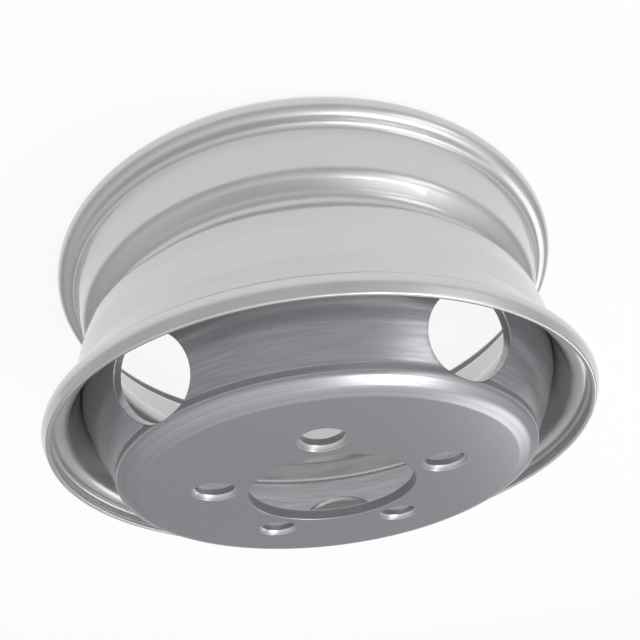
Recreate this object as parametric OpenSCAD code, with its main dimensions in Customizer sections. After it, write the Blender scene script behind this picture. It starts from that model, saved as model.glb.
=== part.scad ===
// Welded steel truck wheel: a rolled drop-centre rim, a spun disc pressed into it and the weld between them.
// The wheel lies on its inner flange with the axle along Z and the outer face of the disc on top.

/* [Rim] */
// Diameter over the flange crests
flange_d = 472; // [464:1:480]
// Bead seat diameter where the seat meets the flange face
seat_d = 444.5; // [441:0.5:448]
// Width between the two flange faces
rim_w = 141; // [136:1:156]
// Thickness of the rolled rim sheet
rim_t = 4.5; // [4:0.1:5]
// Outside radius of the flange curl
curl_r = 8.3; // [7.6:0.1:8.8]
// Angle that the lip turns down past the crest of the flange
lip_angle = 30; // [20:1:40]
// Straight length of the lip after the curl
lip_len = 6.5; // [4:0.5:8]
// Rounding of the two edges of the lip
lip_edge_r = 1.7; // [0.8:0.1:1.9]
// Radius at the foot of the flange, on the tyre side
heel_r = 6; // [4:0.5:6.5]
// Taper of the bead seats
seat_angle = 15; // [13:0.5:17]
// Length of the bead seat on the disc side
outer_seat_len = 30.5; // [29:0.5:33]
// Length of the bead seat on the inner side
inner_seat_len = 35; // [33:0.5:37]
// Length of the cylindrical land that holds the disc
land_len = 24; // [22:0.5:28]
// Length of the ramp between the land and the well
ramp_len = 22; // [18:0.5:24]
// Taper of that ramp
ramp_angle = 9; // [6:0.5:12]
// Radius where the ramp turns down into the well
ramp_r = 8; // [6:0.5:10]
// Depth of the well below the bead seat
well_depth = 25.25; // [23:0.25:27]
// Width of the bottom of the well
well_w = 12.5; // [12:0.5:16]
// Steepness of the well wall on the inner side
well_wall_angle = 65; // [60:1:68]
// Radius of the well corner below the steep wall
well_r = 9; // [6:0.5:9.5]
// Radius of the well corner on the disc side
well_sweep_r = 12; // [8:0.5:12.5]
// Radius of the knee between the inner seat and the well
knee_r = 10; // [6:0.5:12]
// Radius of the shoulder between the land and the ramp
shoulder_r = 8; // [6:0.5:12]
// Radius between the outer seat and the land
land_r = 8; // [6:1:20]
// Diameter of the valve hole
valve_d = 15.7; // [9.7:0.1:16]
// Place of the valve hole down the ramp, as a share of its length
valve_share = 0.43; // [0.4:0.01:0.46]
// Hand hole that the valve hole lies behind, counted from the front
valve_at = 1; // [0:1:2]

/* [Disc] */
// Diameter of the hub bore
bore_d = 146; // [140:0.5:152]
// Diameter of the flat outer face
face_d = 325; // [321:1:329]
// Distance from the middle of the rim to the outer face
outset = 117; // [113:0.5:122]
// Thickness of the disc at the bolt face
face_t = 10; // [9:0.25:12]
// Thickness of the disc at the end of its skirt
skirt_t = 6; // [5:0.25:7]
// Radial distance from the edge of the face out to the neck
edge_w = 18; // [16:0.5:19.5]
// Slope of the band that edges the face
band_angle = 14; // [12:1:16]
// Width of that band
band_w = 9; // [8:0.5:10]
// Slope of the corner outside the band
corner_angle = 30; // [28:1:34]
// Radius between the band and the corner
band_r = 15; // [10:1:18]
// Radius where the corner turns down to the neck
corner_r = 5; // [3:0.5:5.5]
// Depth of the neck below the outer face
neck_depth = 15.5; // [15:0.5:18]
// Radius of the hollow where the neck flares into the wall
neck_r = 5; // [3:0.5:6]
// How far the wall bulges beyond a straight cone
wall_crown = 2.2; // [1:0.1:3]
// Radius of that bulge
wall_r = 70; // [40:5:90]
// How far above the land the wall reaches the skirt
skirt_rise = 3.5; // [2.5:0.5:6]
// Radius where the wall turns down into the skirt
skirt_r = 38; // [20:1:40]
// Rounding of the bore and skirt edges
disc_edge_r = 1; // [0.5:0.1:1.5]
// Radial gap between the skirt and the land
skirt_gap = 0.1; // [0.05:0.05:0.2]

/* [Holes] */
// Number of wheel bolts
bolt_count = 5; // [4:1:6]
// Diameter of the bolt circle
bolt_pcd = 203.2; // [198:0.1:208]
// Diameter of each bolt hole
bolt_d = 32.5; // [26:0.5:34]
// Radius of the ball that shapes the nut seat
ball_r = 22; // [21:0.5:24]
// Diameter of the nut seat at the face
ball_d = 38.5; // [36:0.5:41.5]
// Number of hand holes
hand_count = 5; // [3:1:5]
// Width of a hand hole round the wheel
hand_w = 76; // [60:1:84]
// Height of a hand hole along the wall
hand_h = 63; // [50:1:64]
// Distance of the hand holes from the middle of the wall towards the face
hand_rise = 6.5; // [4:0.5:7]

/* [Weld] */
// Leg length of the fillet weld at the end of the skirt
weld_leg = 5; // [4:0.25:5.5]
// Crown of the weld above a flat fillet
weld_crown = 0.7; // [0.2:0.1:1]
// Land left clear below the weld
weld_margin = 3; // [2.5:0.25:4]

/* [Hidden] */
$fn = 180;
// Largest turn of one facet of a rounded corner, in degrees
arc_step = 8;
// Sides of a hand hole
hand_sides = 72;
// Hand holes lie half a pitch on from the front bolt
hand_shift = 0.5;
// Smallest radius that an inner corner keeps
min_bend_r = 1;
silver = "#c3c5c8";
disc_grey = "#a9abb0";
weld_grey = "#9fa1a5";

// Flange, measured from the flange face outwards along the axle
lip_bend = curl_r * tan(lip_angle / 2);
curl_end = curl_r + lip_bend;
lip_reach = (lip_bend + lip_len) * cos(lip_angle);
lip_drop = (lip_bend + lip_len) * sin(lip_angle);
flange_reach = curl_end + lip_reach;
// The rounded lip stands on its curve, so the sharp edge would lie this far below the floor
lip_sink = lip_edge_r * (cos(lip_angle) + sin(lip_angle) - 1);

// Heights along the axle, from the floor up
inner_face_z = flange_reach - lip_sink;
outer_face_z = inner_face_z + rim_w;
rim_mid_z = inner_face_z + rim_w / 2;
knee_z = inner_face_z + inner_seat_len;
land_top_z = outer_face_z - outer_seat_len;
shoulder_z = land_top_z - land_len;
face_z = rim_mid_z + outset;

// Radii
crest_rad = flange_d / 2;
heel_rad = seat_d / 2;
well_rad = heel_rad - well_depth;
knee_rad = heel_rad - inner_seat_len * tan(seat_angle);
land_rad = heel_rad - outer_seat_len * tan(seat_angle);
land_in_rad = land_rad - rim_t;
skirt_rad = land_in_rad - skirt_gap;
neck_rad = face_d / 2 + edge_w;
// Reach of a hole's cutting shape to each side of the sheet
cut_reach = 3 * face_t;

// Well of the rim and the ramp above it
well_low_z = knee_z + (knee_rad - well_rad) / tan(well_wall_angle);
well_high_z = well_low_z + well_w;
ramp_pt = [land_rad - ramp_len * tan(ramp_angle), shoulder_z - ramp_len];
shoulder_pt = [land_rad, shoulder_z];
valve_pt = shoulder_pt + valve_share * (ramp_pt - shoulder_pt);

// Wall of the disc, from the neck down to the skirt
band_z = face_z - band_w * tan(band_angle);
corner_z = band_z - (edge_w - band_w) * tan(corner_angle);
neck_pt = [neck_rad, face_z - neck_depth];
skirt_pt = [skirt_rad, land_top_z + skirt_rise];
wall_dir = (skirt_pt - neck_pt) / norm(skirt_pt - neck_pt);
wall_normal = [-wall_dir.y, wall_dir.x];
wall_mid = (neck_pt + skirt_pt) / 2;
wall_tilt = atan2(wall_normal.y, wall_normal.x);
skirt_end_z = shoulder_z + weld_margin + weld_leg;

// Tyre side of the rim from the inner lip up to the outer lip: radius, height and rounding
rim_path = [
    [crest_rad - lip_drop, inner_face_z - flange_reach, lip_edge_r],
    [crest_rad, inner_face_z - curl_end, curl_r],
    [crest_rad, inner_face_z, curl_r],
    [heel_rad, inner_face_z, heel_r],
    [knee_rad, knee_z, knee_r],
    [well_rad, well_low_z, well_r],
    [well_rad, well_high_z, well_sweep_r],
    concat(ramp_pt, [ramp_r]),
    concat(shoulder_pt, [shoulder_r]),
    [land_rad, land_top_z, land_r],
    [heel_rad, outer_face_z, heel_r],
    [crest_rad, outer_face_z, curl_r],
    [crest_rad, outer_face_z + curl_end, curl_r],
    [crest_rad - lip_drop, outer_face_z + flange_reach, lip_edge_r]
];

// Outside of the disc from the bore out and down to the end of the skirt
disc_path = [
    [bore_d / 2, face_z, disc_edge_r],
    [face_d / 2, face_z, 0],
    [face_d / 2 + band_w, band_z, band_r],
    [neck_rad, corner_z, corner_r],
    [neck_pt.x, neck_pt.y, neck_r],
    concat(wall_mid + wall_crown * wall_normal, [wall_r]),
    [skirt_pt.x, skirt_pt.y, skirt_r],
    [skirt_rad, skirt_end_z, disc_edge_r]
];

function place(p) = [p[0], p[1]];
function along(path, i) = (place(path[i + 1]) - place(path[i])) / norm(place(path[i + 1]) - place(path[i]));
function left_of(d) = [-d.y, d.x];
function turn(a, b) = a.x * b.y - a.y * b.x;

// Corner i of a path moved along its mitre to the other face of the sheet, by the thickness there
function moved(path, i, thick, side) =
    let (
        last = len(path) - 1,
        before = along(path, max(i - 1, 0)),
        after = along(path, min(i, last - 1)),
        mitre = (left_of(before) + left_of(after)) / (1 + before * after),
        bend_r = path[i][2] - side * sign(turn(before, after)) * thick[i]
    )
    concat(
        place(path[i]) + side * thick[i] * mitre,
        [i == 0 || i == last ? path[i][2] : max(bend_r, min_bend_r)]
    );

// Closed outline of a sheet: its drawn face and back along the other face
function sheet(path, thick, side) = concat(
    path,
    [for (i = [len(path) - 1 : -1 : 0]) moved(path, i, thick, side)]
);

// Points of the arc that rounds corner b between a and c
function arc(a, b, c, radius) =
    let (
        u = (a - b) / norm(a - b),
        v = (c - b) / norm(c - b),
        half = acos(u * v) / 2,
        middle = b + (u + v) / norm(u + v) * radius / sin(half),
        from = b + u * radius / tan(half) - middle,
        sweep = (180 - 2 * half) * sign(turn(u, v)) * -1,
        steps = ceil((180 - 2 * half) / arc_step),
        start = atan2(from.y, from.x)
    )
    [
        for (i = [0 : steps])
            let (a = start + sweep * i / steps)
            middle + radius * [cos(a), sin(a)]
    ];

// A closed outline with each corner rounded by its own radius
function rounded(loop) =
    let (n = len(loop))
    [
        for (i = [0 : n - 1])
            each loop[i][2] == 0
                ? [place(loop[i])]
                : arc(place(loop[(i + n - 1) % n]), place(loop[i]), place(loop[(i + 1) % n]), loop[i][2])
    ];

// Thickness at each corner of a path: the same all the way, or thinning evenly after the flat first run
function even(path, t) = [for (corner = path) t];
function tapered(path, t_from, t_to) =
    let (last = len(path) - 1)
    [for (i = [0 : last]) t_from + (t_to - t_from) * max(i - 1, 0) / (last - 1)];

// Angle round the wheel of place i out of count, counted from the front
function bearing(i, count) = -90 + i * 360 / count;

// Copies its children round the wheel, the first one at the front or moved on by a share of the pitch
module around(count, shift = 0) {
    for (i = [0 : count - 1])
        rotate([0, 0, bearing(i + shift, count)])
            children();
}

// Valve hole through the ramp, in line with a hand hole
module valve_hole() {
    rotate([0, 0, bearing(valve_at + hand_shift, hand_count)])
        translate([valve_pt.x, 0, valve_pt.y])
            rotate([0, 90 + ramp_angle, 0])
                cylinder(d = valve_d, h = 2 * cut_reach, center = true);
}

// Bolt hole with a ball seat for its nut, on the outer face
module bolt_hole() {
    translate([bolt_pcd / 2, 0, face_z]) {
        cylinder(d = bolt_d, h = 2 * cut_reach, center = true);
        translate([0, 0, sqrt(ball_r * ball_r - ball_d * ball_d / 4)])
            sphere(r = ball_r);
    }
}

// Oval hand hole, punched square to the wall of the disc
module hand_hole() {
    hole_pt = wall_mid - hand_rise * wall_dir + wall_crown * wall_normal;
    translate([hole_pt.x, 0, hole_pt.y])
        rotate([0, 90 - wall_tilt, 0])
            linear_extrude(height = 2 * cut_reach, center = true)
                polygon([
                    for (i = [0 : hand_sides - 1])
                        let (a = 360 * i / hand_sides)
                        [hand_h / 2 * cos(a), hand_w / 2 * sin(a)]
                ]);
}

module rim() {
    color(silver)
        difference() {
            rotate_extrude()
                polygon(rounded(sheet(rim_path, even(rim_path, rim_t), 1)));
            valve_hole();
        }
}

module disc() {
    color(disc_grey)
        difference() {
            rotate_extrude()
                polygon(rounded(sheet(disc_path, tapered(disc_path, face_t, skirt_t), -1)));
            around(bolt_count)
                bolt_hole();
            around(hand_count, hand_shift)
                hand_hole();
        }
}

// Fillet weld that ties the end of the skirt to the land of the rim
module weld_bead() {
    chord = weld_leg * sqrt(2);
    bead_r = (chord * chord / 4 + weld_crown * weld_crown) / (2 * weld_crown);
    half = asin(chord / 2 / bead_r);
    steps = ceil(2 * half / arc_step);
    toe = [land_in_rad - weld_leg / 2, skirt_end_z - weld_leg / 2];
    hub = toe + (bead_r - weld_crown) * [1, 1] / sqrt(2);
    color(weld_grey)
        rotate_extrude()
            polygon(concat(
                [[land_in_rad, skirt_end_z]],
                [
                    for (i = [0 : steps])
                        let (a = 225 - half + 2 * half * i / steps)
                        hub + bead_r * [cos(a), sin(a)]
                ]
            ));
}

rim();
disc();
weld_bead();
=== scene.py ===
"""Looks of a welded steel truck wheel: silver paint on a rolled rim, a spun disc and their weld."""

import math

import bmesh
import bpy
from mathutils import Matrix, Vector
from mathutils.bvhtree import BVHTree


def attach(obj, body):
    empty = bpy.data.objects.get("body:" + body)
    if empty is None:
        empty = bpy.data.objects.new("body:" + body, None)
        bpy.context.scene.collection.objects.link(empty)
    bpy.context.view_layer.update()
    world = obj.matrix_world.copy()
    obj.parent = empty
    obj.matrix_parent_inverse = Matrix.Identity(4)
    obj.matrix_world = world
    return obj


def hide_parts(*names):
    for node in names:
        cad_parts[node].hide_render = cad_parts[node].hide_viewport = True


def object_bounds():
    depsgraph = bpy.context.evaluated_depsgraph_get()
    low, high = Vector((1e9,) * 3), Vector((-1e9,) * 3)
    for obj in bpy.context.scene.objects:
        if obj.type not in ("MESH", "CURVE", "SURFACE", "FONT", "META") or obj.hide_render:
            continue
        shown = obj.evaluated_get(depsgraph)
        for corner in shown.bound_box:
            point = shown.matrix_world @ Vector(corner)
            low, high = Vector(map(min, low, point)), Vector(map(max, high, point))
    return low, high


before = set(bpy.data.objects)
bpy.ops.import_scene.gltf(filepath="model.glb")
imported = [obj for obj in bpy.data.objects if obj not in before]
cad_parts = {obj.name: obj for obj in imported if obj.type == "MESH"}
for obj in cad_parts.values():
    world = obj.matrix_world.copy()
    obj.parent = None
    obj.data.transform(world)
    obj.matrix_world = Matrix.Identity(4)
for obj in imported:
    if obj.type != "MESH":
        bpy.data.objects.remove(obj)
cad_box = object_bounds()

MM = 0.001
BODY = "root"

# Round counts of the meshes: sides of the wheel and of a hole
WHEEL_SIDES = 300
HOLE_SIDES = 96

# Holes of the disc and the rim, as they are drilled and punched
BOLTS = 5
BOLT_CIRCLE = 203.2 * MM
BOLT_HOLE = 32.5 * MM
BALL_R = 22 * MM
BALL_MOUTH = 38.5 * MM
HAND_HOLES = 5
HAND_SIZE = (63 * MM, 76 * MM)
HAND_AT = (194.05 * MM, 167.25 * MM)
HAND_TILT = math.radians(26.55)
VALVE_HOLE = 15.7 * MM
VALVE_AT = (212.58 * MM, 94.5 * MM)
VALVE_TILT = math.radians(-9)
FRONT = math.radians(-90)
VALVE_BEARING = math.radians(18)
# Radii and heights that the paints go by: the barrel, the face with its edge, and the neck
BARREL_R = 200 * MM
FACE_Z = cad_box[1][2]
FACE_R = 162.5 * MM
NECK_Z = 189.5 * MM
# Thickness of the disc at the bolt face
FACE_T = 10 * MM
# Rounding that paint and punching leave on the edge of a hole
HOLE_EDGE = 0.9 * MM
# Ripples of the weld: length across the bead, distance along it and height above it
RIPPLE_ACROSS = 5.6 * MM
RIPPLE_PITCH = 3.6 * MM
RIPPLE_RISE = 0.4 * MM
# Lean of a ripple against the one before it, and the way that the crown of the bead faces
RIPPLE_LEAN = math.radians(12)
CROWN_FACES = math.radians(225)


def linear(code):
    """The linear colour of an sRGB hex code."""
    parts = [int(code[i : i + 2], 16) / 255 for i in (1, 3, 5)]
    return [c / 12.92 if c <= 0.04045 else ((c + 0.055) / 1.055) ** 2.4 for c in parts] + [1.0]


def per_metre(size_mm):
    """Texture scale of a pattern whose features are that many millimetres apart."""
    return 1 / (size_mm * MM)


def add(tree, kind, links=None, **settings):
    """A new node with its settings, and with its inputs set or linked by name or number."""
    node = tree.nodes.new(kind)
    for name, value in settings.items():
        setattr(node, name, value)
    for socket, value in (links or {}).items():
        if isinstance(value, bpy.types.NodeSocket):
            tree.links.new(value, node.inputs[socket])
        else:
            node.inputs[socket].default_value = value
    return node


def calc(tree, operation, *values):
    """The result of one math node, as a socket."""
    return add(tree, "ShaderNodeMath", dict(enumerate(values)), operation=operation).outputs[0]


def span(tree, value, start, end, low=0.0, high=1.0):
    """A value taken from one range to another and kept within it, as a socket."""
    return add(tree, "ShaderNodeMapRange", {0: value, 1: start, 2: end, 3: low, 4: high}).outputs[0]


def blend(tree, share, first, second, kind="FLOAT"):
    """A mix of two numbers or two colours, as a socket."""
    at = {"FLOAT": (2, 3, 0), "RGBA": (6, 7, 2)}[kind]
    return add(tree, "ShaderNodeMix", {0: share, at[0]: first, at[1]: second}, data_type=kind).outputs[at[2]]


def shader(name):
    """An empty material, with its node tree and its surface output."""
    material = bpy.data.materials.new(name)
    material.use_nodes = True
    material.node_tree.nodes.clear()
    return material, material.node_tree, add(material.node_tree, "ShaderNodeOutputMaterial")


def geometry_tree(name, **sockets):
    """A new geometry node tree with the named inputs, its input node and its output node."""
    tree = bpy.data.node_groups.new(name, "GeometryNodeTree")
    for label, kind in sockets.items():
        tree.interface.new_socket(label, in_out="INPUT", socket_type=kind)
    tree.interface.new_socket("Geometry", in_out="OUTPUT", socket_type="NodeSocketGeometry")
    return tree, add(tree, "NodeGroupInput"), add(tree, "NodeGroupOutput")


def object_of(name, verts, edges=(), faces=()):
    """A linked object with a mesh of its own."""
    mesh = bpy.data.meshes.new(name)
    mesh.from_pydata(verts, list(edges), list(faces))
    made = bpy.data.objects.new(name, mesh)
    bpy.context.scene.collection.objects.link(made)
    return made


def run_tree(piece, tree, **inputs):
    """Runs a geometry node tree on a piece and keeps the result as its plain mesh."""
    modifier = piece.modifiers.new(tree.name, "NODES")
    modifier.node_group = tree
    names = {item.name: item.identifier for item in tree.interface.items_tree if item.in_out == "INPUT"}
    for label, value in inputs.items():
        modifier[names[label]] = value
    bpy.context.view_layer.update()
    graph = bpy.context.evaluated_depsgraph_get()
    mesh = bpy.data.meshes.new_from_object(piece.evaluated_get(graph))
    piece.modifiers.clear()
    piece.data = mesh
    return piece


def section_of(node):
    """The closed outline of a CAD node in the half plane through the axle and +X, as radius and height."""
    bm = bmesh.new()
    bm.from_mesh(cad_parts[node].data)
    bmesh.ops.remove_doubles(bm, verts=bm.verts, dist=1e-6)
    parts = bm.verts[:] + bm.edges[:] + bm.faces[:]
    cut = bmesh.ops.bisect_plane(bm, geom=parts, dist=1e-7, plane_co=(0, 0, 0), plane_no=(0, 1, 0))
    edges = [e for e in cut["geom_cut"] if isinstance(e, bmesh.types.BMEdge) and e.verts[0].co.x > 0]
    nexts = {}
    for edge in edges:
        a, b = edge.verts
        nexts.setdefault(a, []).append(b)
        nexts.setdefault(b, []).append(a)
    start = edges[0].verts[0]
    loop, before, here = [start], start, nexts[start][0]
    while here is not start:
        loop.append(here)
        before, here = here, next(v for v in nexts[here] if v is not before)
    points = [(v.co.x, v.co.z) for v in loop]
    bm.free()
    return points


def guarded(points, run=4 * MM, guard=1 * MM):
    """The outline with two more points on each long straight run, so that its smooth shading stays flat."""
    made = []
    for (r0, z0), (r1, z1) in zip(points, points[1:] + points[:1]):
        length = math.hypot(r1 - r0, z1 - z0)
        shares = [0, guard / length, 1 - guard / length] if length > run else [0]
        made += [(r0 + (r1 - r0) * t, z0 + (z1 - z0) * t) for t in shares]
    return made


def revolve_tree():
    """Turns the points of a section, radius on X and height on Z, into a wall round the Z axis."""
    tree, inside, out = geometry_tree(
        "Revolve section",
        Geometry="NodeSocketGeometry",
        Corners="NodeSocketInt",
        Sides="NodeSocketInt",
        Paint="NodeSocketMaterial",
    )
    corners, sides = inside.outputs["Corners"], inside.outputs["Sides"]
    grid = add(
        tree,
        "GeometryNodeMeshGrid",
        {
            "Size X": corners,
            "Size Y": sides,
            "Vertices X": calc(tree, "ADD", corners, 1.0),
            "Vertices Y": calc(tree, "ADD", sides, 1.0),
        },
    )
    place = add(tree, "ShaderNodeSeparateXYZ", {0: add(tree, "GeometryNodeInputPosition").outputs[0]})
    column = calc(tree, "ROUND", calc(tree, "MULTIPLY_ADD", corners, 0.5, place.outputs["X"]))
    point = add(
        tree,
        "GeometryNodeSampleIndex",
        {
            "Geometry": inside.outputs["Geometry"],
            "Value": add(tree, "GeometryNodeInputPosition").outputs[0],
            "Index": calc(tree, "MODULO", column, corners),
        },
        data_type="FLOAT_VECTOR",
    )
    section = add(tree, "ShaderNodeSeparateXYZ", {0: point.outputs[0]})
    angle = calc(tree, "MULTIPLY", calc(tree, "DIVIDE", place.outputs["Y"], sides), math.tau)
    x = calc(tree, "MULTIPLY", section.outputs["X"], calc(tree, "COSINE", angle))
    y = calc(tree, "MULTIPLY", section.outputs["X"], calc(tree, "SINE", angle))
    turned = add(tree, "ShaderNodeCombineXYZ", {0: x, 1: y, 2: section.outputs["Z"]})
    wall = add(
        tree, "GeometryNodeSetPosition", {"Geometry": grid.outputs["Mesh"], "Position": turned.outputs[0]}
    )
    closed = add(tree, "GeometryNodeMergeByDistance", {"Geometry": wall.outputs[0], "Distance": 1e-6})
    smooth = add(tree, "GeometryNodeSetShadeSmooth", {"Geometry": closed.outputs[0]})
    painted = add(
        tree, "GeometryNodeSetMaterial", {"Geometry": smooth.outputs[0], "Material": inside.outputs["Paint"]}
    )
    tree.links.new(painted.outputs[0], out.inputs[0])
    return tree


def copies_round(tree, shape, count, first):
    """Realised copies of an object spaced evenly round the Z axis, as a geometry socket."""
    points = add(tree, "GeometryNodePoints", {"Count": count})
    step = calc(tree, "DIVIDE", math.tau, count)
    angle = calc(tree, "MULTIPLY_ADD", add(tree, "GeometryNodeInputIndex").outputs[0], step, first)
    turn = add(tree, "ShaderNodeCombineXYZ", {2: angle})
    copied = add(tree, "GeometryNodeObjectInfo", {"Object": shape})
    copies = add(
        tree,
        "GeometryNodeInstanceOnPoints",
        {"Points": points.outputs[0], "Instance": copied.outputs["Geometry"], "Rotation": turn.outputs[0]},
    )
    return add(tree, "GeometryNodeRealizeInstances", {"Geometry": copies.outputs[0]}).outputs[0]


def punch_tree():
    """Cuts copies of a punch, spaced evenly round the Z axis, out of a piece."""
    tree, inside, out = geometry_tree(
        "Punch holes",
        Geometry="NodeSocketGeometry",
        Punch="NodeSocketObject",
        Count="NodeSocketInt",
        First="NodeSocketFloat",
    )
    cut = add(tree, "GeometryNodeMeshBoolean", {"Mesh 1": inside.outputs["Geometry"]}, operation="DIFFERENCE")
    punches = copies_round(tree, inside.outputs["Punch"], inside.outputs["Count"], inside.outputs["First"])
    tree.links.new(punches, cut.inputs["Mesh 2"])
    cut.solver = "EXACT"
    tree.links.new(cut.outputs["Mesh"], out.inputs[0])
    return tree


def ripple_tree():
    """Lays ripples side by side all round a weld bead."""
    tree, inside, out = geometry_tree(
        "Weld ripples",
        Geometry="NodeSocketGeometry",
        Ripple="NodeSocketObject",
        Count="NodeSocketInt",
        Paint="NodeSocketMaterial",
    )
    ripples = copies_round(tree, inside.outputs["Ripple"], inside.outputs["Count"], 0.0)
    joined = add(tree, "GeometryNodeJoinGeometry")
    tree.links.new(inside.outputs["Geometry"], joined.inputs[0])
    tree.links.new(ripples, joined.inputs[0])
    painted = add(
        tree, "GeometryNodeSetMaterial", {"Geometry": joined.outputs[0], "Material": inside.outputs["Paint"]}
    )
    tree.links.new(painted.outputs[0], out.inputs[0])
    return tree


REVOLVE = revolve_tree()
PUNCH = punch_tree()
RIPPLES = ripple_tree()


def revolved(name, points, sides, paint):
    """A closed piece of revolution about the Z axis from an outline of radius and height."""
    piece = object_of(name, [(r, 0, z) for r, z in points])
    run_tree(piece, REVOLVE, Corners=len(points), Sides=sides, Paint=paint)
    outward(piece)
    return piece


def outward(piece):
    """Points every face of a closed piece outwards."""
    bm = bmesh.new()
    bm.from_mesh(piece.data)
    bmesh.ops.recalc_face_normals(bm, faces=bm.faces)
    bm.to_mesh(piece.data)
    bm.free()


def quarter(centre, radius, start, end, steps=5):
    """Points of an arc, from one angle to another in degrees."""
    angles = [math.radians(start + (end - start) * i / steps) for i in range(steps + 1)]
    return [(centre[0] + radius * math.cos(a), centre[1] + radius * math.sin(a)) for a in angles]


def punch_out(piece, punch, count, first):
    """Cuts a punch out of a piece all round the wheel and throws the punch away."""
    run_tree(piece, PUNCH, Punch=punch, Count=count, First=first)
    bpy.data.objects.remove(punch)


def bolt_punch(face_z, hub_z):
    """Drill and ball cutter of one bolt hole, with both mouths rounded."""
    hole_r, mouth_r = BOLT_HOLE / 2, BALL_MOUTH / 2
    past = 3 * MM
    ball_z = face_z + math.sqrt(BALL_R**2 - mouth_r**2)
    low = math.degrees(math.acos(hole_r / BALL_R))
    high = math.degrees(math.acos(mouth_r / BALL_R))
    outline = [(0, hub_z - past), (hole_r + HOLE_EDGE, hub_z - past)]
    outline += quarter((hole_r + HOLE_EDGE, hub_z + HOLE_EDGE), HOLE_EDGE, -90, -180)[1:]
    outline += quarter((0, ball_z), BALL_R, -low, -high, 12)
    outline += [(mouth_r + 0.4 * HOLE_EDGE, face_z + 0.2 * HOLE_EDGE), (mouth_r + HOLE_EDGE, face_z + past)]
    outline += [(0, face_z + past)]
    punch = revolved("bolt_punch", outline, HOLE_SIDES, None)
    punch.data.transform(Matrix.Translation((BOLT_CIRCLE / 2, 0, 0)))
    return punch


def hand_punch(disc):
    """Oval punch of one hand hole, flared to round the edges where it leaves both faces of the disc."""
    along = Vector((math.cos(HAND_TILT), 0, math.sin(HAND_TILT)))
    up = Vector((-math.sin(HAND_TILT), 0, math.cos(HAND_TILT)))
    centre = Vector((HAND_AT[0], 0, HAND_AT[1]))
    far = 40 * MM
    tree = BVHTree.FromObject(disc, bpy.context.evaluated_depsgraph_get())

    def ring(grow, face, lift):
        """One ring of the punch: grown by that much, and lifted off the outer (1) or inner (-1) face."""
        points = []
        for i in range(HOLE_SIDES):
            a = math.tau * i / HOLE_SIDES
            base = centre + up * (HAND_SIZE[0] / 2 + grow) * math.cos(a)
            base.y = (HAND_SIZE[1] / 2 + grow) * math.sin(a)
            hit = tree.ray_cast(base + along * far * face, -along * face)[0]
            points.append(hit + along * face * lift)
        return points

    arc = [math.radians(90 * i / 4) for i in range(5)]
    flare = [(HOLE_EDGE * (1 - math.sin(a)), -HOLE_EDGE * (1 - math.cos(a))) for a in arc]
    rings = [ring(HOLE_EDGE, -1, 6 * MM)] + [ring(grow, -1, lift) for grow, lift in flare]
    rings += [ring(grow, 1, lift) for grow, lift in reversed(flare)] + [ring(HOLE_EDGE, 1, 6 * MM)]
    verts = [p for points in rings for p in points]
    n = HOLE_SIDES
    faces = [
        (k * n + i, k * n + (i + 1) % n, (k + 1) * n + (i + 1) % n, (k + 1) * n + i)
        for k in range(len(rings) - 1)
        for i in range(n)
    ]
    faces += [tuple(reversed(range(n))), tuple(range(len(verts) - n, len(verts)))]
    punch = object_of("hand_punch", verts, faces=faces)
    outward(punch)
    return punch


def valve_punch():
    """Straight drill of the valve hole, square to the ramp of the rim."""
    reach = 12 * MM
    outline = [(0, -reach), (VALVE_HOLE / 2, -reach), (VALVE_HOLE / 2, reach), (0, reach)]
    punch = revolved("valve_punch", outline, HOLE_SIDES, None)
    tip = Matrix.Rotation(math.pi / 2 - VALVE_TILT, 4, "Y")
    punch.data.transform(Matrix.Translation((VALVE_AT[0], 0, VALVE_AT[1])) @ tip)
    return punch


def weld_ripple(crown):
    """One ripple of the weld: a flat drop on the crown of the bead, leaning against the one before it."""
    bm = bmesh.new()
    bmesh.ops.create_uvsphere(bm, u_segments=16, v_segments=8, radius=1)
    drop = Matrix.Diagonal((RIPPLE_ACROSS / 2, RIPPLE_PITCH * 0.75, RIPPLE_RISE * 2, 1))
    lean = Matrix.Rotation(RIPPLE_LEAN, 4, "X")
    slope = Matrix.Rotation(CROWN_FACES, 4, "Y")
    sunk = Matrix.Translation((crown[0] + 0.7 * RIPPLE_RISE, 0, crown[1] + 0.7 * RIPPLE_RISE))
    bm.transform(sunk @ slope @ lean @ drop)
    ripple = object_of("weld_ripple", [])
    bm.to_mesh(ripple.data)
    bm.free()
    return ripple


def wheel_places(tree):
    """Place on the wheel, and the same as separate axes, level with the axle and as radius."""
    where = add(tree, "ShaderNodeTexCoord").outputs["Object"]
    place = add(tree, "ShaderNodeSeparateXYZ", {0: where})
    level = add(tree, "ShaderNodeVectorMath", {0: where, 1: (1.0, 1.0, 0.0)}, operation="MULTIPLY").outputs[0]
    radius = add(tree, "ShaderNodeVectorMath", {0: level}, operation="LENGTH").outputs["Value"]
    return where, place, level, radius


def drawn_round(tree, level, long_mm, across, short_mm):
    """Coordinates for marks drawn out round the wheel: long that way and short across."""
    heading = add(tree, "ShaderNodeVectorMath", {0: level}, operation="NORMALIZE").outputs[0]
    turns = per_metre(long_mm) * BARREL_R
    round_ = add(tree, "ShaderNodeVectorMath", {0: heading, "Scale": turns}, operation="SCALE").outputs[0]
    steps = calc(tree, "MULTIPLY", across, per_metre(short_mm))
    step = add(tree, "ShaderNodeCombineXYZ", {2: steps}).outputs[0]
    return add(tree, "ShaderNodeVectorMath", {0: round_, 1: step}, operation="ADD").outputs[0]


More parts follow.
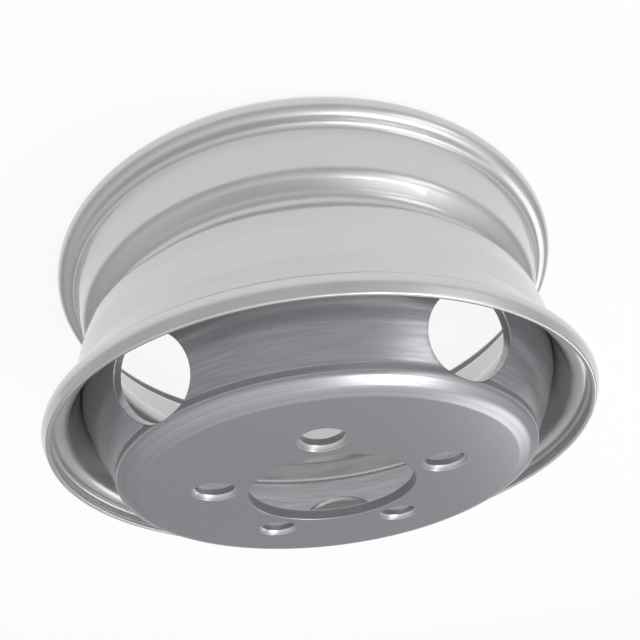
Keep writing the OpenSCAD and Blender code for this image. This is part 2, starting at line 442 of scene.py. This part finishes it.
def silver_gloss():
    """Silver enamel on rolled sheet, under a clear gloss that follows the waves of the sheet."""
    material, tree, out = shader("silver_gloss_enamel")
    where, place, level, _ = wheel_places(tree)
    rolled = drawn_round(tree, level, 45, place.outputs["Z"], 18)
    waves = add(tree, "ShaderNodeTexNoise", {"Vector": rolled, "Scale": 1.0, "Detail": 1.0})
    peel = add(tree, "ShaderNodeTexNoise", {"Vector": where, "Scale": per_metre(2.5), "Detail": 2.0})
    sheet = add(tree, "ShaderNodeBump", {"Height": waves.outputs[0], "Strength": 0.7, "Distance": 0.9 * MM})
    skin = add(
        tree,
        "ShaderNodeBump",
        {"Height": peel.outputs[0], "Strength": 0.12, "Distance": 0.05 * MM, "Normal": sheet.outputs[0]},
    )
    clouds = add(tree, "ShaderNodeTexNoise", {"Vector": where, "Scale": per_metre(45), "Detail": 4.0})
    cloud = clouds.outputs[0]
    paint = add(
        tree,
        "ShaderNodeBsdfPrincipled",
        {
            "Base Color": blend(tree, cloud, linear("#c6c7c6"), linear("#d4d4d1"), "RGBA"),
            "Metallic": 0.9,
            "Roughness": span(tree, cloud, 0.3, 0.7, 0.34, 0.42),
            "Coat Weight": 1.0,
            "Coat Roughness": 0.04,
            "Normal": skin.outputs[0],
            "Coat Normal": skin.outputs[0],
        },
    )
    tree.links.new(paint.outputs[0], out.inputs[0])
    return material


def seat_share(tree, place, radius):
    """One on the turned ball seats and nothing elsewhere, and the distance from the bolt's axis."""
    angle = calc(tree, "ARCTAN2", place.outputs["Y"], place.outputs["X"])
    turned = calc(tree, "WRAP", calc(tree, "SUBTRACT", angle, FRONT), math.pi / BOLTS, -math.pi / BOLTS)
    along = calc(tree, "MULTIPLY_ADD", radius, calc(tree, "COSINE", turned), -BOLT_CIRCLE / 2)
    aside = calc(tree, "MULTIPLY", radius, calc(tree, "SINE", turned))
    offset = add(tree, "ShaderNodeCombineXYZ", {0: along, 1: aside}).outputs[0]
    off = add(tree, "ShaderNodeVectorMath", {0: offset}, operation="LENGTH").outputs["Value"]
    inside = span(tree, off, BALL_MOUTH / 2, BALL_MOUTH / 2 + 0.3 * MM, 1.0, 0.0)
    beyond = span(tree, off, BOLT_HOLE / 2 + 0.1 * MM, BOLT_HOLE / 2 + 0.3 * MM)
    high = span(tree, place.outputs["Z"], FACE_Z - 6 * MM, FACE_Z - 5 * MM)
    return calc(tree, "MULTIPLY", calc(tree, "MULTIPLY", inside, beyond), high), off


def spun_satin():
    """Thin satin silver on a spun disc: streaks on the wall, rings round the face, bright nut seats."""
    material, tree, out = shader("spun_satin_silver")
    _, place, level, radius = wheel_places(tree)
    # Way along the section from the bore out and down to the skirt
    way = calc(tree, "SUBTRACT", radius, place.outputs["Z"])
    drawn = drawn_round(tree, level, 40, way, 2.8)
    streaks = add(tree, "ShaderNodeTexNoise", {"Vector": drawn, "Scale": 1.0, "Detail": 2.0}).outputs[0]
    rings = add(
        tree, "ShaderNodeTexNoise", {"W": way, "Scale": per_metre(2.4), "Detail": 3.0}, noise_dimensions="1D"
    ).outputs[0]
    off_face = span(tree, radius, FACE_R - 0.6 * MM, FACE_R + 0.4 * MM)
    above_neck = span(tree, place.outputs["Z"], NECK_Z, NECK_Z + 4 * MM)
    band = calc(tree, "MULTIPLY", off_face, above_neck)
    marks = blend(tree, span(tree, off_face, 0.0, 1.0, 0.15, 1.0), 0.5, blend(tree, band, streaks, rings))
    seat, off = seat_share(tree, place, radius)
    turned = add(
        tree, "ShaderNodeTexNoise", {"W": off, "Scale": per_metre(0.7), "Detail": 1.0}, noise_dimensions="1D"
    ).outputs[0]
    lines = span(tree, blend(tree, seat, marks, turned), 0.3, 0.7)
    silver = blend(tree, lines, linear("#a4a4a8"), linear("#b6b6ba"), "RGBA")
    tone = blend(tree, seat, silver, blend(tree, lines, linear("#b9b9ba"), linear("#e6e6e6"), "RGBA"), "RGBA")
    rough = blend(tree, seat, span(tree, lines, 0.0, 1.0, 0.36, 0.28), 0.3)
    bump = add(tree, "ShaderNodeBump", {"Height": lines, "Strength": 0.3, "Distance": 0.04 * MM}).outputs[0]
    paint = add(
        tree,
        "ShaderNodeBsdfPrincipled",
        {"Base Color": tone, "Metallic": 0.85, "Roughness": rough, "Normal": bump},
    )
    tree.links.new(paint.outputs[0], out.inputs[0])
    return material


def weld_silver():
    """Silver paint over a rough weld."""
    material, tree, out = shader("painted_weld")
    where = add(tree, "ShaderNodeTexCoord").outputs["Object"]
    grain = add(tree, "ShaderNodeTexNoise", {"Vector": where, "Scale": per_metre(1.5), "Detail": 3.0})
    bump = add(tree, "ShaderNodeBump", {"Height": grain.outputs[0], "Strength": 0.3, "Distance": 0.3 * MM})
    paint = add(
        tree,
        "ShaderNodeBsdfPrincipled",
        {"Base Color": linear("#b5b6b9"), "Metallic": 0.8, "Roughness": 0.5, "Normal": bump.outputs[0]},
    )
    tree.links.new(paint.outputs[0], out.inputs[0])
    return material


def stand_for(piece, node, paint, sharp_deg=20):
    """A finished piece that takes the place of its CAD node, with edges past that many degrees kept sharp."""
    piece.data.materials.clear()
    piece.data.materials.append(paint)
    piece.data.polygons.foreach_set("use_smooth", [True] * len(piece.data.polygons))
    piece.data.set_sharp_from_angle(angle=math.radians(sharp_deg))
    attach(piece, BODY)
    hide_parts(node)


def make_rim():
    """The rolled rim with its valve hole."""
    paint = silver_gloss()
    rim = revolved("rolled_rim", guarded(section_of("rim")), WHEEL_SIDES, paint)
    punch_out(rim, valve_punch(), 1, VALVE_BEARING)
    stand_for(rim, "rim", paint)


def make_disc():
    """The spun disc with its bolt holes and hand holes."""
    paint = spun_satin()
    disc = revolved("spun_disc", guarded(section_of("disc")), WHEEL_SIDES, paint)
    hand = hand_punch(disc)
    punch_out(disc, bolt_punch(FACE_Z, FACE_Z - FACE_T), BOLTS, FRONT)
    punch_out(disc, hand, HAND_HOLES, FRONT + math.pi / HAND_HOLES)
    stand_for(disc, "disc", paint)


def make_weld():
    """The ring of weld at the end of the skirt, with its ripples."""
    paint = weld_silver()
    points = section_of("weld_bead")
    weld = revolved("ripple_weld", points, WHEEL_SIDES, paint)
    # The crown is the point of the bead nearest to the axle and the floor
    crown = min(points, key=sum)
    ripple = weld_ripple(crown)
    count = round(math.tau * crown[0] / RIPPLE_PITCH)
    run_tree(weld, RIPPLES, Ripple=ripple, Count=count, Paint=paint)
    bpy.data.objects.remove(ripple)
    stand_for(weld, "weld_bead", paint, 50)


# Width of the floor in metres, and the share of it that is plain white; the rest takes the shadow
FLOOR_WIDTH = 8
FLOOR_GLOW = 0.9


def make_floor():
    """A white floor, for the eye and for the gloss of the paint, that keeps the shadow of the wheel."""
    half = FLOOR_WIDTH / 2
    corners = [(-half, -half, 0), (half, -half, 0), (half, half, 0), (-half, half, 0)]
    floor = object_of("floor", corners, faces=[(0, 1, 2, 3)])
    material, tree, out = shader("white_floor")
    path = add(tree, "ShaderNodeLightPath")
    matt = add(tree, "ShaderNodeBsdfDiffuse", {"Color": linear("#f4f4f4")})
    glow = add(tree, "ShaderNodeEmission", {"Color": linear("#ffffff"), "Strength": 1.0})
    sharp = calc(tree, "MAXIMUM", path.outputs["Is Glossy Ray"], path.outputs["Is Transmission Ray"])
    seen = calc(tree, "MAXIMUM", path.outputs["Is Camera Ray"], sharp)
    share = calc(tree, "MULTIPLY", seen, FLOOR_GLOW)
    mixed = add(tree, "ShaderNodeMixShader", {0: share, 1: matt.outputs[0], 2: glow.outputs[0]})
    tree.links.new(mixed.outputs[0], out.inputs[0])
    floor.data.materials.append(material)


# Tones of the plain studio: overhead, the wall in front of the wheel and the backdrop behind it
OVERHEAD = "#f4f4f6"
FRONT_WALL = "#b8b8bc"
BACKDROP = "#a4a4a6"


def make_studio():
    """Plain soft light all round: pale walls that grow lighter towards a white ceiling."""
    world = bpy.data.worlds.new("studio")
    bpy.context.scene.world = world
    world.use_nodes = True
    tree = world.node_tree
    tree.nodes.clear()
    ray = add(tree, "ShaderNodeTexCoord").outputs["Generated"]
    way = add(tree, "ShaderNodeSeparateXYZ", {0: ray})
    behind = span(tree, way.outputs["Y"], 0.0, 0.5)
    walls = blend(tree, behind, linear(FRONT_WALL), linear(BACKDROP), "RGBA")
    height = span(tree, way.outputs["Z"], 0.4, 1.0)
    tone = blend(tree, height, walls, linear(OVERHEAD), "RGBA")
    light = add(tree, "ShaderNodeBackground", {"Color": tone, "Strength": 1.0})
    add(tree, "ShaderNodeOutputWorld", {"Surface": light.outputs[0]})


# Soft boxes towards the picture's right: place in metres and power in watts
SOFT_BOXES = {
    "front_box": ((-1.5, -1.1, 1.1), 4),
    "rear_box": ((-1.0, 1.4, 1.3), 4),
    "top_box": ((-0.7, -0.3, 1.8), 10),
}
BOX_WIDTH = 0.9


def make_lamps():
    """The soft boxes, turned to the middle of the wheel."""
    for name, (place, power) in SOFT_BOXES.items():
        lamp = bpy.data.lights.new(name, "AREA")
        lamp.shape = "DISK"
        lamp.size = BOX_WIDTH
        lamp.energy = power
        holder = bpy.data.objects.new(name, lamp)
        holder.location = place
        aim = Vector((0, 0, FACE_Z / 2)) - holder.location
        holder.rotation_euler = aim.to_track_quat("-Z", "Y").to_euler()
        bpy.context.scene.collection.objects.link(holder)


# The camera that was fitted to the photograph: place in metres, tilt and roll, lens in mm and shift
CAMERA_AT = (-0.01447, -0.53324, 0.41503)
CAMERA_TILT = math.radians(90 - 27.02)
CAMERA_ROLL = math.radians(172.47)
CAMERA_LENS = 36.69
CAMERA_SHIFT = (-0.0328, 0.1655)


def make_camera():
    """The photograph's view: from the front and above, turned so that the disc faces down."""
    camera = bpy.data.cameras.new("camera")
    camera.sensor_width = 36
    camera.lens = CAMERA_LENS
    camera.shift_x, camera.shift_y = CAMERA_SHIFT
    holder = bpy.data.objects.new("camera", camera)
    turn = Matrix.Rotation(CAMERA_TILT, 4, "X") @ Matrix.Rotation(CAMERA_ROLL, 4, "Z")
    holder.matrix_world = Matrix.Translation(CAMERA_AT) @ turn
    bpy.context.scene.collection.objects.link(holder)
    bpy.context.scene.camera = holder


make_rim()
make_disc()
make_weld()
make_floor()
make_studio()
make_lamps()
make_camera()
bpy.context.scene.view_settings.view_transform = "Standard"
